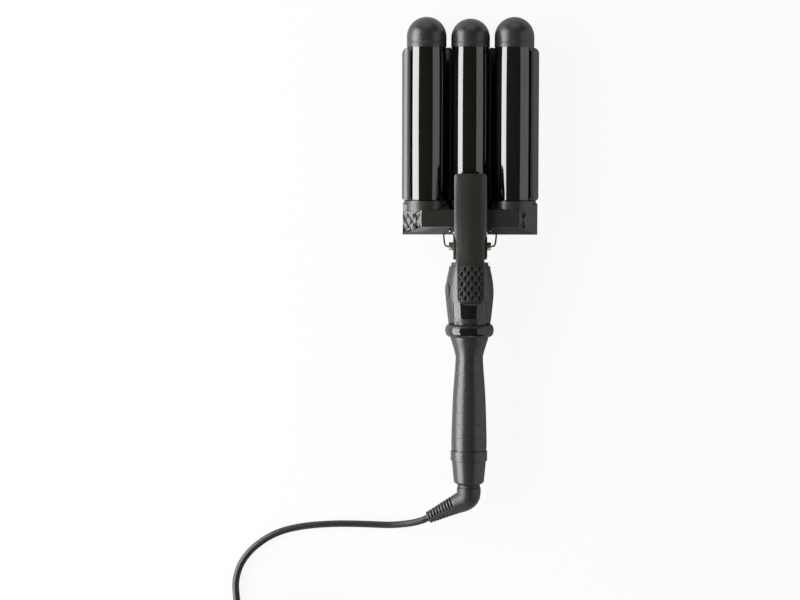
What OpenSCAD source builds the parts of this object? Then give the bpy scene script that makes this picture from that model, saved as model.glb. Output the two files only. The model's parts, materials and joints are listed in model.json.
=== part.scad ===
// Three-barrel clamp hair waver lying on its back.
// X runs across the barrels, +Y towards the tips, +Z towards the lever.
// The origin is the centre of the flat back of the rear jaw's base.

/* [Barrels] */
// Radius of the two outer barrels
barrel_r = 16; // [13:0.5:18]
// Radius of the centre barrel
centre_r = 15.6; // [12:0.2:17]
// Wall of each barrel tube
barrel_wall = 1.2; // [0.8:0.1:2]
// Length of the barrels that shows
barrel_l = 126.3; // [90:0.1:160]
// Length of an outer barrel's domed tip
tip_l = 24.6; // [20:0.2:30]
// How much shorter the centre tip is
centre_short = 1.4; // [0:0.1:4]
// How far a tip stands out from its barrel
tip_lip = 0.35; // [0.1:0.05:1]
// How far an outer collar stands out from its barrel
collar_lip = 2.4; // [1.5:0.1:4]
// How far the centre collar stands out from its barrel
centre_collar_lip = 0.5; // [0.2:0.1:1]
// Height of the collars, along the barrel
collar_l = 8.9; // [7:0.1:12]
// Radius of the stub that holds each barrel
stub_r = 10; // [8:0.5:11]
// Radius of a heater core
heater_r = 5; // [3:0.5:6]

/* [Wings] */
// Gap between an outer barrel and its wing
wing_gap = 3; // [2.6:0.1:5]
// Thickness of a wing plate
wing_t = 1.2; // [0.8:0.1:2]
// How far the wings end below the tips
wing_short = 0.5; // [0.5:0.1:30]
// Outer radius of the lip that a wing rolls over its barrel
lip_r = 6.8; // [5:0.1:7.2]
// Least gap between that lip and the barrel
lip_gap = 0.6; // [0.5:0.05:1.5]
// Radius of a wing's upper corner
wing_corner_r = 5.6; // [2:0.1:6]
// Radius of a wing's lower corner
wing_foot_r = 2.6; // [1:0.1:6]
// Gap between the collars and the lower ends of the wings
wing_rise = 0.5; // [0.5:0.1:3]
// Half angle of the tab that fastens a wing
tab_angle = 34; // [20:1:40]
// Gap between a wing's inner edge and the centre barrel
wing_seat = 0.3; // [0.3:0.05:1]

/* [Crossbar] */
// Distance from the base's centre down to the crossbar's lower edge
bar_low = 10.5; // [9:0.1:16]
// Distance from the base's centre up to the crossbar's upper edge
bar_high = 15; // [12:0.1:20]
// How far the crossbar reaches past the collars
bar_end = 1; // [0.5:0.1:4]
// Height of the lower bevel
bar_bevel = 6.8; // [3:0.1:8]
// Height of the upper slope
bar_slope = 5.2; // [3:0.1:6]
// Width of each sloping end
bar_end_slope = 15.5; // [8:0.5:20]
// Depth of the bevels and slopes
bar_chamfer = 12; // [6:0.5:14]
// Wall of the crossbar housing
bar_wall = 2.2; // [1.6:0.1:3]
// Height of the crossbar's back above the rest face
bar_back = 9.2; // [8.8:0.1:11]

/* [Rear jaw base] */
// Half length of the flat rest face
rest_half = 8; // [6:0.5:9]
// Width of the base
base_w = 104; // [90:1:108]
// Thickness of the base
base_t = 8.2; // [6:0.1:8.4]

/* [Hinge] */
// Distance from the crossbar's lower edge down to the hinge
hinge_drop = 9.7; // [8.8:0.1:14]
// Height of the hinge above the rest face
hinge_z = 26; // [24:0.5:30]
// Radius of the lever's ears
ear_r = 11; // [9:0.5:13]
// Thickness of an ear
ear_t = 2; // [1.5:0.1:3]
// Radius of the hollow hinge pin
pin_r = 2.5; // [2:0.1:3.2]
// Radius of the bore through the hinge pin
pin_bore_r = 1.3; // [1:0.1:1.5]
// Radius of the pin's heads
head_r = 3.3; // [2.8:0.1:5]
// Thickness of each head
head_t = 3.6; // [2:0.1:5]
// Side clearance between the neck and the ears
ear_gap = 0.3; // [0.2:0.05:0.6]
// Radial clearance of the pin in the neck
pin_gap = 0.05; // [0.02:0.01:0.1]

/* [Lever] */
// Width of the lever over the crossbar
lever_w = 26.6; // [22:0.2:32]
// Width of the lever's arm
arm_w = 22.8; // [18:0.2:26]
// Distance from the hinge to the lever's upper end
lever_reach = 60.3; // [48:0.5:70]
// Distance from the hinge to the arm's lower end
arm_reach = 46.4; // [40:0.2:54]
// Height of the lever's face above the crossbar's front
lever_rise = 7; // [5:0.2:9]
// Height gained by the arm between the hinge and its end
arm_rise = 14; // [13:0.5:20]
// Thickness of the arm
arm_t = 5.6; // [5:0.1:6.4]
// Width of the thumb pad
pad_w = 20.7; // [16:0.1:22]
// Length of the thumb pad
pad_l = 31; // [20:0.5:34]
// Depth of the thumb pad's seat below the arm's crown
pad_seat = 2.6; // [2.2:0.1:3]
// How far the thumb pad stands out
pad_rise = 0.6; // [0.3:0.1:1.5]

/* [Closing spring] */
// Radius of the spring wire
spring_wire_r = 0.6; // [0.4:0.05:0.8]
// Mean radius of the spring's curls
spring_r = 4.3; // [3.8:0.1:5]
// Number of curls
spring_curls = 5; // [3:1:6]
// Distance from curl to curl
spring_pitch = 1.75; // [1.65:0.05:1.9]

/* [Body and grip] */
// Radius of the trim ring, which rests on the same surface as the base
ring_r = 20.2; // [18:0.2:24]
// Length of the trim ring
ring_l = 11; // [8:0.2:14]
// Radius of the casing under the trim ring
ring_seat_r = 15.4; // [14:0.2:16]
// Distance from the hinge to the neck ring
neck_drop = 13.9; // [13.5:0.1:18]
// Radius of the upper step of the neck ring
neck_step_r = 15.5; // [14:0.1:17]
// Length of the upper step of the neck ring
neck_step_l = 2.9; // [2:0.1:4]
// Length of the lower step of the neck ring
neck_ring_l = 1.7; // [1:0.1:3]
// Radius of the neck's round stem
stem_r = 11.4; // [10:0.1:12]
// Radius of the body at its upper end
body_top_r = 17.1; // [16:0.1:18]
// Largest radius of the body
body_r = 19.9; // [18.5:0.1:20]
// Radius of the body at its lower end
body_low_r = 17.4; // [16:0.1:18]
// Length of the body
body_l = 45.9; // [41.3:0.1:60]
// Radius of the grip where it leaves the trim ring
grip_top_r = 16; // [14.5:0.1:17]
// Radius of the grip's waist
waist_r = 11.5; // [10.5:0.1:12.5]
// Largest radius of the grip
grip_r = 14.7; // [13.5:0.1:16]
// Radius of the grip's lower end
grip_end_r = 14.4; // [13.4:0.1:15.5]
// Length of the grip
grip_l = 94.8; // [85:0.2:130]
// Wall of the casing
shell_t = 2.2; // [1.6:0.1:2.6]
// Radius of the casing's tail inside the band and the end cap
tail_r = 12.4; // [11.6:0.1:12.8]

/* [Display and control] */
// Width of the display window
window_w = 27.6; // [20:0.2:29]
// Length of the display window
window_l = 13.6; // [10:0.2:16]
// Distance from the trim ring up to the window
window_foot = 5; // [4:0.1:6]
// Thickness of the window
window_t = 1.5; // [1:0.1:2]
// Width of the trim ring's gloss inlay
inlay_w = 33.5; // [20:0.5:34]
// Length of the trim ring's gloss inlay
inlay_l = 6.7; // [4:0.1:8]
// Radius of the round side control
button_r = 6.7; // [5:0.1:7.5]
// Angle of the side control from the front, to the left
button_angle = 77; // [70:1:90]
// Distance from the body's upper end to the control's centre
button_drop = 18.2; // [16:0.1:20]
// How far the control stands out
button_rise = 0.4; // [0.4:0.1:1.5]
// Gap round the control
button_gap = 0.45; // [0.4:0.05:0.6]

/* [End of the handle] */
// Radius of the band
band_r = 15.2; // [14:0.1:17]
// Length of the band
band_l = 8.5; // [5:0.1:14]
// Radius of the end cap at its upper end
cap_r = 14.2; // [13.8:0.1:16]
// Radius of the end cap at its lower end
cap_end_r = 10.9; // [10:0.1:12]
// Length of the end cap
cap_l = 19.3; // [18:0.1:26]
// Radius of the swivel's shaft
spigot_r = 6.4; // [5.5:0.1:7]
// Radial clearance of the swivel's shaft
spigot_gap = 0.06; // [0.03:0.01:0.1]
// Radius of the elbow and its collar
elbow_r = 9.95; // [9:0.05:11]
// Radius of the elbow's tip
elbow_tip_r = 5; // [4:0.1:5.4]
// Number of rib slots on each side of the elbow
elbow_slots = 9; // [5:1:11]

/* [Cord and plug] */
// Diameter of the mains cord
cord_d = 5.8; // [5:0.1:6]
// Radius of the coil's largest turn
coil_r = 36.5; // [34:0.5:42]
// Distance from turn to turn, and from layer to layer
coil_pitch = 6.35; // [6.3:0.05:7]
// Turns in each layer
coil_turns = 2; // [1:1:2]
// Layers of the coil
coil_layers = 4; // [2:2:4]
// Width of the tie round the coil
tie_w = 7; // [5:0.5:9]
// Length of the plug's body
plug_l = 36; // [30:0.5:44]
// Width of the plug's body
plug_w = 35; // [32:0.5:38]
// Thickness of the plug's body
plug_t = 13.6; // [12:0.2:16]
// Radius of a plug pin
plug_pin_r = 2; // [2:0.1:2.4]
// Length of a plug pin
plug_pin_l = 19; // [18:0.5:20]
// Distance between the plug pins
plug_pitch = 18.6; // [18:0.1:19.5]

/* [Hidden] */
$fn = 64;

slip = 0.1;
fine = 0.02;
over = 1;

// Barrels, wings and crossbar
wing_in_r = barrel_r + wing_gap;
wing_out_r = wing_in_r + wing_t;
axis_z = wing_out_r;
pitch = centre_r + wing_seat + wing_out_r;
collar_r = barrel_r + collar_lip;
centre_collar_r = centre_r + centre_collar_lip;
collar_y = bar_high - collar_l + 2.4;
barrel_y = collar_y + collar_l;
tip_y = barrel_y + barrel_l;
wing_y = barrel_y + wing_rise;
wing_l = barrel_l - wing_rise - wing_short;
bar_half = pitch + collar_r + bar_end;
slot_half = centre_collar_r + 1.3;
slot_z = axis_z + centre_collar_r + 0.4;
bar_front = max(axis_z + collar_r + 0.3, slot_z + bar_wall);
stub_l = 10;
plug_depth = 6;

// Hinge and lever
hinge_y = -bar_low - hinge_drop;
ear_in = arm_w / 2 + 0.4;
ear_out = ear_in + ear_t;
neck_half = ear_in - ear_gap;
fork_half = (spring_curls + 0.25) * spring_pitch / 2 + spring_wire_r + 0.5;
fork_floor_z = hinge_z - spring_r - spring_wire_r - 0.2;
face_z = bar_front + lever_rise;
arm_end_z = face_z + arm_rise;
arm_slope = atan(arm_rise / arm_reach);
lever_top_y = hinge_y + lever_reach;
lever_end_y = hinge_y - arm_reach;
under_z = axis_z + centre_r + 1.6;

// Body and grip, all on one axis parallel to the barrels
handle_z = ring_r;
neck_y = hinge_y - neck_drop;
step_y = neck_y - neck_step_l;
body_y = step_y - neck_ring_l;
ring_y = body_y - body_l;
grip_y = ring_y - ring_l;
band_y = grip_y - grip_l;
cap_y = band_y - band_l;
cap_end_y = cap_y - cap_l;
elbow_y = cap_end_y - 3.4;
tail_l = band_l + 5;
window_y = ring_y + window_foot + window_l;
button_y = body_y - button_drop;
board_z = handle_z - 1;
board_t = 1.2;
board_y = body_y - 16;
board_end_y = ring_y - 8;
wire_x = 5;
wire_r = 0.9;
neck_wire_z = handle_z - 3;

// Elbow: its tip points left and down to the cord
elbow_roll = 12;
elbow_path = [
  [0, 0], [0, -2.2], [0, -4.5], [-0.9, -8], [-4.2, -11.3], [-10.7, -14.5],
  [-18.5, -18.4], [-26.3, -22.5], [-34, -26.3]
];
elbow_radii = [
  elbow_r, elbow_r, elbow_r, elbow_r - 0.1, elbow_r - 0.9, elbow_r - 1.9,
  lerp(elbow_r - 1.9, elbow_tip_r, 0.33), lerp(elbow_r - 1.9, elbow_tip_r, 0.67), elbow_tip_r
];

// Cord: the free stretch from the elbow to the coil, the coil, then the tail to the plug
cord_r = cord_d / 2;
tie_t = 0.8;
coil_z = cord_r + tie_t + 0.15;
coil_x = -193 + coil_r;
coil_y = -358;
elbow_tip = elbow_path[8];
elbow_out = unit(elbow_path[8] - elbow_path[7]);
function rolled(p) = [p.x * cos(elbow_roll), elbow_y + p.y, handle_z + p.x * sin(elbow_roll)];
lead_start = rolled(elbow_tip + 0.12 * elbow_out);
lead_next = rolled(elbow_tip + 3 * elbow_out);
lead_third = rolled(elbow_tip + 6 * elbow_out);
lead_points = [
  [-45.9, -252.9, 9.8], [-55.9, -254.8, 6.6], [-67.7, -255.8, 4.1], [-86.2, -255.3, 3],
  [-107.2, -255, 3], [-125.7, -255.8, 3], [-140.8, -257.6, 3], [-154.3, -260.7, 3],
  [-164.7, -264.9, 3], [-173.1, -270, 3], [-181.3, -276.6, 3], [-187.5, -283.9, 3],
  [-191.5, -290.7, 3], [-194.2, -298.4, 3], [-195.4, -306.9, 3], [-194.9, -316, 3],
  [-193.9, -326, 3], [-193.3, -337, 3.3]
];
tail_points = [
  [-191.8, -370.9, 22.9], [-185.8, -387.3, 22.4], [-171.3, -398.8, 18.8], [-152.7, -401.8, 13.5],
  [-134, -397, 8], [-117, -386, 4.2], [-104, -376, 3], [-92, -369, 4.2], [-83, -366.2, 6.4]
];
plug_x = -74;
plug_y = -366;
plug_z = plug_t / 2 + 0.05;
nub_l = 11;

// Smooth curve through given points, with n steps from one to the next
function lerp(a, b, t) = a + (b - a) * t;
function unit(v) = v / norm(v);
function spline(p, a, b, c, d, t) =
  0.5 * (2 * b + (c - a) * t + (2 * a - 5 * b + 4 * c - d) * t * t + (3 * b - a - 3 * c + d) * t * t * t);
function smooth(p, n) = [
  for (i = [0:len(p) - 2], k = [0:n - 1])
    spline(p, p[max(i - 1, 0)], p[i], p[i + 1], p[min(i + 2, len(p) - 1)], k / n),
  p[len(p) - 1]
];
function arc(x, y, r, from, to, n) = [
  for (k = [0:n]) let (a = lerp(from, to, k / n)) [x + r * cos(a), y + r * sin(a)]
];

// Unbroken tube along a path, with a radius at each of its points
module tube(path, radii, sides, up) {
  n = len(path);
  rings = [
    for (i = [0:n - 1])
      let (t = unit(path[min(i + 1, n - 1)] - path[max(i - 1, 0)]), s = unit(cross(t, up)), u = cross(s, t))
        for (k = [0:sides - 1])
          path[i] + radii[i] * (cos(360 * k / sides) * s + sin(360 * k / sides) * u)
  ];
  walls = [
    for (i = [0:n - 2], k = [0:sides - 1])
      let (a = i * sides + k, b = i * sides + (k + 1) % sides)
        each [[a, b, b + sides], [a, b + sides, a + sides]]
  ];
  first_end = [for (k = [1:sides - 2]) [0, k + 1, k]];
  last = (n - 1) * sides;
  last_end = [for (k = [1:sides - 2]) [last, last + k, last + k + 1]];
  polyhedron(points = rings, faces = concat(walls, first_end, last_end), convexity = 10);
}

// Turn a shape drawn along Z so that it runs along +Y, on the given axis
module along_y(x, y, z) {
  translate([x, y, z]) rotate([-90, 0, 0]) children();
}

// Half of the space in front of (side 1) or behind (side -1) the handle's axis
module half_space(side) {
  translate([-100, -400, side > 0 ? handle_z : handle_z - 100]) cube([200, 500, 100]);
}

// Rounded rectangle standing on the XY plane
module rounded_block(x0, x1, y0, y1, r, z0, z1) {
  corners = concat(
    arc(x1 - r, y1 - r, r, 0, 90, 6), arc(x0 + r, y1 - r, r, 90, 180, 6),
    arc(x0 + r, y0 + r, r, 180, 270, 6), arc(x1 - r, y0 + r, r, 270, 360, 6)
  );
  translate([0, 0, z0]) linear_extrude(z1 - z0) polygon(corners);
}

// ---------- barrels ----------
module barrel(x, r) {
  along_y(x, barrel_y, axis_z) difference() {
    cylinder(r = r, h = barrel_l);
    translate([0, 0, -over]) cylinder(r = r - barrel_wall, h = barrel_l + 2 * over);
  }
}

module tip(x, r, l) {
  dome = r + tip_lip;
  straight = l - dome;
  outline = concat(
    [[0, -plug_depth], [r - barrel_wall - slip, -plug_depth], [r - barrel_wall - slip, 0], [dome, 0]],
    arc(0, straight, dome, 0, 90, 16)
  );
  along_y(x, tip_y, axis_z) rotate_extrude() polygon(outline);
}

module collar(x, r, lip) {
  along_y(x, collar_y, axis_z) difference() {
    union() {
      cylinder(r = r + lip, h = collar_l);
      translate([0, 0, -stub_l]) cylinder(r = stub_r, h = stub_l + over);
      translate([0, 0, collar_l - over]) cylinder(r = r - barrel_wall - slip, h = plug_depth + over);
    }
    translate([0, 0, collar_l - 2]) cylinder(r = heater_r + slip, h = plug_depth + 2 * over);
    translate([0, 0, -stub_l - over]) cylinder(r = 2.5, h = stub_l + collar_l + 2 * over);
  }
}

// Screws that hold a wing's tab to the foot of its collar
screw_spots = [for (side = [-1, 1], y = [collar_y + 2.5, barrel_y - 1.7]) [side * pitch, y]];
screw_head_r = 1.9;
screw_shank_r = 1.2;
screw_l = 6.2;
tab_half = wing_out_r * sin(tab_angle);
tab_y = collar_y + 0.2;

module outer_collar(side) {
  difference() {
    union() {
      collar(side * pitch, barrel_r, collar_lip);
      intersection() {
        along_y(side * pitch, tab_y, axis_z) cylinder(r = wing_in_r - fine, h = barrel_y - tab_y);
        translate([side * pitch - tab_half + 1, 0, -over]) cube([2 * tab_half - 2, barrel_y + over, axis_z - stub_r]);
      }
    }
    for (spot = screw_spots) translate([spot.x, spot.y, -over]) cylinder(r = screw_shank_r + slip, h = screw_l + 0.5 + over);
  }
}

module heater(x, r) {
  core_l = barrel_l - 16;
  along_y(x, barrel_y - 2, axis_z) {
    cylinder(r = heater_r, h = core_l);
    for (k = [1:3])
      translate([0, 0, k * core_l / 3 - 6]) cylinder(r = r - barrel_wall - slip, h = 4);
  }
}

module left_barrel() { color("#141414") barrel(-pitch, barrel_r); }
module right_barrel() { color("#141414") barrel(pitch, barrel_r); }
module centre_barrel() { color("#141414") barrel(0, centre_r); }
module left_tip() { color("#3a3a3a") tip(-pitch, barrel_r, tip_l); }
module right_tip() { color("#3a3a3a") tip(pitch, barrel_r, tip_l); }
module centre_tip() { color("#3a3a3a") tip(0, centre_r, tip_l - centre_short); }
module left_collar() { color("#3a3a3a") outer_collar(-1); }
module right_collar() { color("#3a3a3a") outer_collar(1); }
module centre_collar() { color("#3a3a3a") collar(0, centre_r, centre_collar_lip); }
module left_heater() { color("#b08050") heater(-pitch, barrel_r); }
module right_heater() { color("#b08050") heater(pitch, barrel_r); }
module centre_heater() { color("#b08050") heater(0, centre_r); }

// ---------- wings and what carries them ----------
// Cross-section of a wing about its barrel's axis: a channel behind the barrel, a straight side
// and a lip that rolls inwards over the barrel until it is level
lip_x = wing_out_r - lip_r;
lip_in_r = lip_r - wing_t;
lip_h = sqrt(pow(barrel_r + lip_gap, 2) - lip_x * lip_x) - lip_in_r;

function wing_arc(r, from, to) = [
  for (k = [0:30]) let (a = lerp(from, to, k / 30)) [r * sin(a), -r * cos(a)]
];

module wing_profile(side) {
  outline = concat(
    wing_arc(wing_in_r / cos(3), -90, 90), arc(lip_x, lip_h, lip_in_r, 0, 90, 8),
    arc(lip_x, lip_h, lip_r, 90, 0, 10), wing_arc(wing_out_r, 90, -90)
  );
  polygon([for (p = outline) [side * p.x, p.y]]);
}

module wing(side) {
  inner = side * (pitch - wing_out_r - wing_corner_r - over);
  outer = side * (pitch + wing_out_r);
  difference() {
    intersection() {
      translate([side * pitch, wing_y + wing_l + over, axis_z]) rotate([90, 0, 0])
        linear_extrude(wing_y + wing_l + 2 * over) wing_profile(side);
      union() {
        rounded_block(min(inner, outer), max(inner, outer), wing_y + 20, wing_y + wing_l, wing_corner_r, -2 * over, 60);
        rounded_block(min(inner, outer), max(inner, outer), wing_y, wing_y + 40, wing_foot_r, -2 * over, 60);
        translate([side * pitch - tab_half, tab_y, -over]) cube([2 * tab_half, wing_y + 8 - tab_y, axis_z]);
      }
    }
    for (spot = screw_spots) {
      translate([spot.x, spot.y, -over]) cylinder(r = screw_head_r + slip, h = 0.65 * wing_t + over);
      translate([spot.x, spot.y, -over]) cylinder(r = screw_shank_r + slip, h = wing_t + 2 * over);
    }
  }
}

module left_wing() { color("#1c1c1c") wing(-1); }
module right_wing() { color("#1c1c1c") wing(1); }

module wing_screws() {
  color("#9a9a9a") for (spot = screw_spots) translate([spot.x, spot.y, slip]) {
    cylinder(r = screw_head_r, h = 0.65 * wing_t - slip);
    cylinder(r = screw_shank_r, h = screw_l - slip);
  }
}

// Backbone that fills the trough between the wings and the centre barrel
module rear_spine() {
  color("#2c2c2c") difference() {
    along_y(0, rest_half, 0) linear_extrude(wing_y + wing_l - rest_half - 1) difference() {
      translate([-pitch + 6, -axis_z + 4]) square([2 * pitch - 12, axis_z - 4]);
      for (side = [-1, 1]) translate([side * pitch, -axis_z]) circle(r = wing_out_r + wing_seat);
      translate([0, -axis_z]) circle(r = centre_collar_r + 0.1);
    }
    translate([-pitch, rest_half - over, bar_back - 1]) cube([2 * pitch, bar_high + 2.6 - rest_half + over, axis_z]);
  }
}

module rear_jaw_base() {
  color("#303030") difference() {
    union() {
      translate([-base_w / 2, -rest_half, 0]) cube([base_w, 2 * rest_half, base_t]);
      translate([-slot_half + 1, -rest_half, 0]) cube([2 * slot_half - 2, 2 * rest_half, slot_z - 0.1]);
    }
    for (side = [-1, 1])
      along_y(side * pitch, collar_y - 0.8, axis_z) cylinder(r = collar_r + 0.5, h = 20);
    along_y(0, collar_y - stub_l - slip, axis_z) cylinder(r = stub_r + slip, h = 40);
    along_y(0, collar_y, axis_z) cylinder(r = centre_collar_r + slip, h = 20);
    for (x = [-wire_x, wire_x]) along_y(x, -rest_half - over, neck_wire_z) cylinder(r = wire_r + 0.4, h = 10);
  }
}

// ---------- crossbar ----------
module bar_solid(inset) {
  half = bar_half - inset;
  low = -bar_low + inset;
  high = bar_high - inset;
  front = bar_front - inset;
  knee = bar_front - bar_chamfer;
  intersection() {
    rotate([90, 0, 90]) translate([0, 0, -half]) linear_extrude(2 * half) polygon([
      [low, bar_back], [high, bar_back], [high, knee], [high - bar_slope, front],
      [low + bar_bevel, front], [low, knee]
    ]);
    translate([0, high, 0]) rotate([90, 0, 0]) linear_extrude(high - low) polygon([
      [-half, bar_back], [half, bar_back], [half, knee], [half - bar_end_slope, front],
      [-half + bar_end_slope, front], [-half, knee]
    ]);
  }
}

cover_x = slot_half + bar_wall;
cover_w = bar_half - bar_wall - cover_x;
cover_l = collar_y - bar_wall + bar_low - bar_wall;

module bar_pocket(side, grow, z0, z1) {
  x0 = side > 0 ? cover_x : -cover_x - cover_w;
  translate([x0 - grow, -bar_low + bar_wall - grow, z0]) cube([cover_w + 2 * grow, cover_l + 2 * grow, z1 - z0]);
}

// Way for the rear jaw's centre block and for the lever's ears; the lower wall closes in on the ears
// above the hinge, where it swings away from the block
module bar_slot() {
  translate([-slot_half, -bar_low - over, 0]) cube([2 * slot_half, bar_low + bar_high + 2 * over, hinge_z + 0.5]);
  translate([-slot_half, -rest_half - ear_gap, 0]) cube([2 * slot_half, rest_half + bar_high + 2 * over, slot_z]);
  translate([-ear_out - ear_gap, -bar_low - over, 0]) cube([2 * (ear_out + ear_gap), bar_low + over, slot_z]);
}

module crossbar_housing() {
  color("#3c3c3c") difference() {
    bar_solid(0);
    intersection() {
      bar_solid(bar_wall);
      union() for (side = [-1, 1]) bar_pocket(side, 0, bar_back + 2, bar_front);
    }
    for (side = [-1, 1]) {
      bar_pocket(side, 0, bar_back - over, bar_back + 4);
      along_y(side * pitch, collar_y, axis_z) cylinder(r = collar_r + slip, h = 30);
      along_y(side * pitch, collar_y - stub_l, axis_z) cylinder(r = stub_r + slip, h = 30);
      along_y(side * lead_x, -bar_low - over, hinge_z) cylinder(r = lead_r + 0.3, h = 8);
    }
    bar_slot();
    for (spot = bar_screws) translate([spot.x, spot.y, slot_z - over]) {
      cylinder(r = screw_shank_r + slip, h = 20);
      cylinder(r = screw_head_r + slip, h = over + 1.2);
    }
  }
}

module crossbar_back_covers() {
  color("#303030") for (side = [-1, 1]) difference() {
    bar_pocket(side, -slip, bar_back, bar_back + 2);
    along_y(side * pitch, collar_y - stub_l - 0.2, axis_z) cylinder(r = stub_r + 0.2, h = 30);
  }
}

bar_screws = [for (side = [-1, 1]) [side * 8, 0]];

module crossbar_screws() {
  color("#9a9a9a") for (spot = bar_screws) translate([spot.x, spot.y, slot_z + slip]) {
    cylinder(r = screw_shank_r, h = 6);
    cylinder(r = screw_head_r, h = 1.1);
  }
}

// ---------- lever, hinge and spring ----------
// Point of the arm: l along it from above the hinge, h above the line of its crown
function arm_at(l, h) = [
  hinge_y - l * cos(arm_slope) + h * sin(arm_slope),
  face_z + l * sin(arm_slope) + h * cos(arm_slope)
];
arm_l = arm_reach / cos(arm_slope);
arm_end_r = arm_t / 2;
under_meet = (lever_rise - arm_t / cos(arm_slope)) / tan(arm_slope);

module lever_profile() {
  polygon(concat(
    [[lever_top_y, under_z], [lever_top_y, face_z + 0.2], [hinge_y + 1, face_z + 0.2]],
    [for (k = [0:8]) let (a = 90 - 22.5 * k)
      arm_at(arm_l - arm_end_r + arm_end_r * cos(a), -arm_end_r + (arm_end_r + (a > 80 ? slip : 0)) * sin(a))],
    [[hinge_y + under_meet, bar_front], [bar_high + 1, bar_front], [bar_high + 1, under_z]]
  ));
}

module lever_plan() {
  w = lever_w / 2;
  a = arm_w / 2;
  polygon(concat(
    arc(w - 3, lever_top_y - 3, 3, 0, 90, 6), arc(-w + 3, lever_top_y - 3, 3, 90, 180, 6),
    [[-w, -bar_low], [-a, -bar_low - 5]], arc(-a + 8, lever_end_y + 8, 8, 180, 270, 8),
    arc(a - 8, lever_end_y + 8, 8, 270, 360, 8), [[a, -bar_low - 5], [w, -bar_low]]
  ));
}

// Ear round the hinge, and the web that joins both ears to the arm
module ear_profile() {
  polygon(concat(
    arc(hinge_y, hinge_z, ear_r, 165, 345, 20),
    [[-bar_low - 1.2, hinge_z], [-bar_low - 1.2, bar_front + 3], [hinge_y - 7, bar_front + 4.4]]
  ));
}

module web_profile() {
  polygon([
    arm_at(7, -arm_t), [hinge_y + under_meet, bar_front], [-bar_low - 1.2, bar_front],
    [-bar_low - 1.2, bar_front + 3], [hinge_y - 7, bar_front + 4.4]
  ]);
}

// Rounded crown of the lever's face; it droops towards the upper end and rises along the arm
crown_r = 36;
arm_crown_r = 30;
droop_y = hinge_y + 34;
droop = 10;

module lever_crown() {
  intersection() {
    translate([0, -60, face_z - crown_r]) rotate([-90, 0, 0]) cylinder(r = crown_r, h = 120);
    translate([0, droop_y, face_z - crown_r]) rotate([-90 - droop, 0, 0]) translate([0, 0, -70])
      cylinder(r = crown_r, h = 120);
  }
  arm_frame() rotate([90, 0, 0]) translate([0, 0, -6]) translate([0, -arm_crown_r, 0]) cylinder(r = arm_crown_r, h = 90);
}

// Frame of the arm: its Z = 0 is the line of the crown, and the arm runs along its -Y
module arm_frame() {
  translate([0, hinge_y, face_z]) rotate([-arm_slope, 0, 0]) children();
}

pad_start = arm_l - 2.2 - pad_l;

module pad_plan(gap, z0, z1) {
  arm_frame() rounded_block(-pad_w / 2 + gap, pad_w / 2 - gap, -pad_start - pad_l + gap, -pad_start - gap, 4, z0, z1);
}

module lever() {
  color("#3c3c3c") difference() {
    union() {
      intersection() {
        rotate([90, 0, 90]) translate([0, 0, -lever_w / 2]) linear_extrude(lever_w) lever_profile();
        linear_extrude(100) lever_plan();
        lever_crown();
      }
      rotate([90, 0, 90]) translate([0, 0, -ear_out]) linear_extrude(2 * ear_out) web_profile();
      for (side = [-1, 1]) translate([side > 0 ? ear_in : -ear_out, 0, 0])
        rotate([90, 0, 90]) linear_extrude(ear_t) ear_profile();
    }
    pad_plan(0, -pad_seat, 10);
    translate([-ear_out - over, hinge_y, hinge_z]) rotate([0, 90, 0]) cylinder(r = pin_r + fine, h = 2 * ear_out + 2 * over);
    for (spot = bar_screws) translate([spot.x, spot.y, slot_z]) cylinder(r = screw_shank_r + slip, h = 6.4);
  }
}

module thumb_pad() {
  color("#262626") intersection() {
    pad_plan(slip, -pad_seat, 10);
    arm_frame() translate([0, 10, pad_rise - arm_crown_r]) rotate([90, 0, 0]) cylinder(r = arm_crown_r, h = 90);
  }
}

module hinge_pin() {
  color("#c8b070") translate([0, hinge_y, hinge_z]) rotate([0, 90, 0]) difference() {
    union() {
      cylinder(r = pin_r, h = 2 * ear_out + over, center = true);
      for (side = [-1, 1]) translate([0, 0, side * (ear_out + fine + head_t / 2)])
        cylinder(r = head_r, h = head_t, center = true);
    }
    cylinder(r = pin_bore_r, h = 100, center = true);
  }
}

lead_r = 0.7;
lead_x = 21.7;

module heater_lead(side) {
  inner_x = ear_out - 3;
  points = [
    [lead_x, -bar_low + 4], [lead_x, -bar_low + 1], [lead_x - 0.2, -bar_low - 3],
    [lead_x - 0.8, hinge_y + 2.2], [lead_x - 1.6, hinge_y + 0.7], [lead_x - 3.2, hinge_y],
    [inner_x, hinge_y]
  ];
  path = [for (p = smooth(points, 3)) [side * p.x, p.y, hinge_z]];
  tube(path, [for (p = path) lead_r], 8, [0, 0, 1]);
}

module left_heater_lead() { color("#101010") heater_lead(-1); }
module right_heater_lead() { color("#101010") heater_lead(1); }

// Torsion spring round the pin: one leg rests on the neck's floor, the other under the arm
spring_l = (spring_curls + 0.25) * spring_pitch;
spring_coil = [
  for (k = [0:8 * spring_curls + 2])
    let (a = 270 - 45 * k)
      [lerp(-spring_l / 2, spring_l / 2, k / (8 * spring_curls + 2)),
        hinge_y + spring_r * cos(a), hinge_z + spring_r * sin(a)]
];
function under_arm(l) = [
  spring_l / 2, arm_at(l, -arm_t - spring_wire_r - fine)[0], arm_at(l, -arm_t - spring_wire_r - fine)[1]
];
spring_path = concat(
  [[-spring_l / 2, hinge_y + 8, fork_floor_z + spring_wire_r + fine],
    [-spring_l / 2, hinge_y + 3, hinge_z - spring_r]],
  spring_coil,
  [[spring_l / 2, hinge_y - spring_r - 0.2, hinge_z + 6], under_arm(5.5), under_arm(8.5)]
);

module closing_spring() {
  color("#8a8a8a") tube(spring_path, [for (p = spring_path) spring_wire_r], 6, [1, 0, 0]);
}

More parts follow.
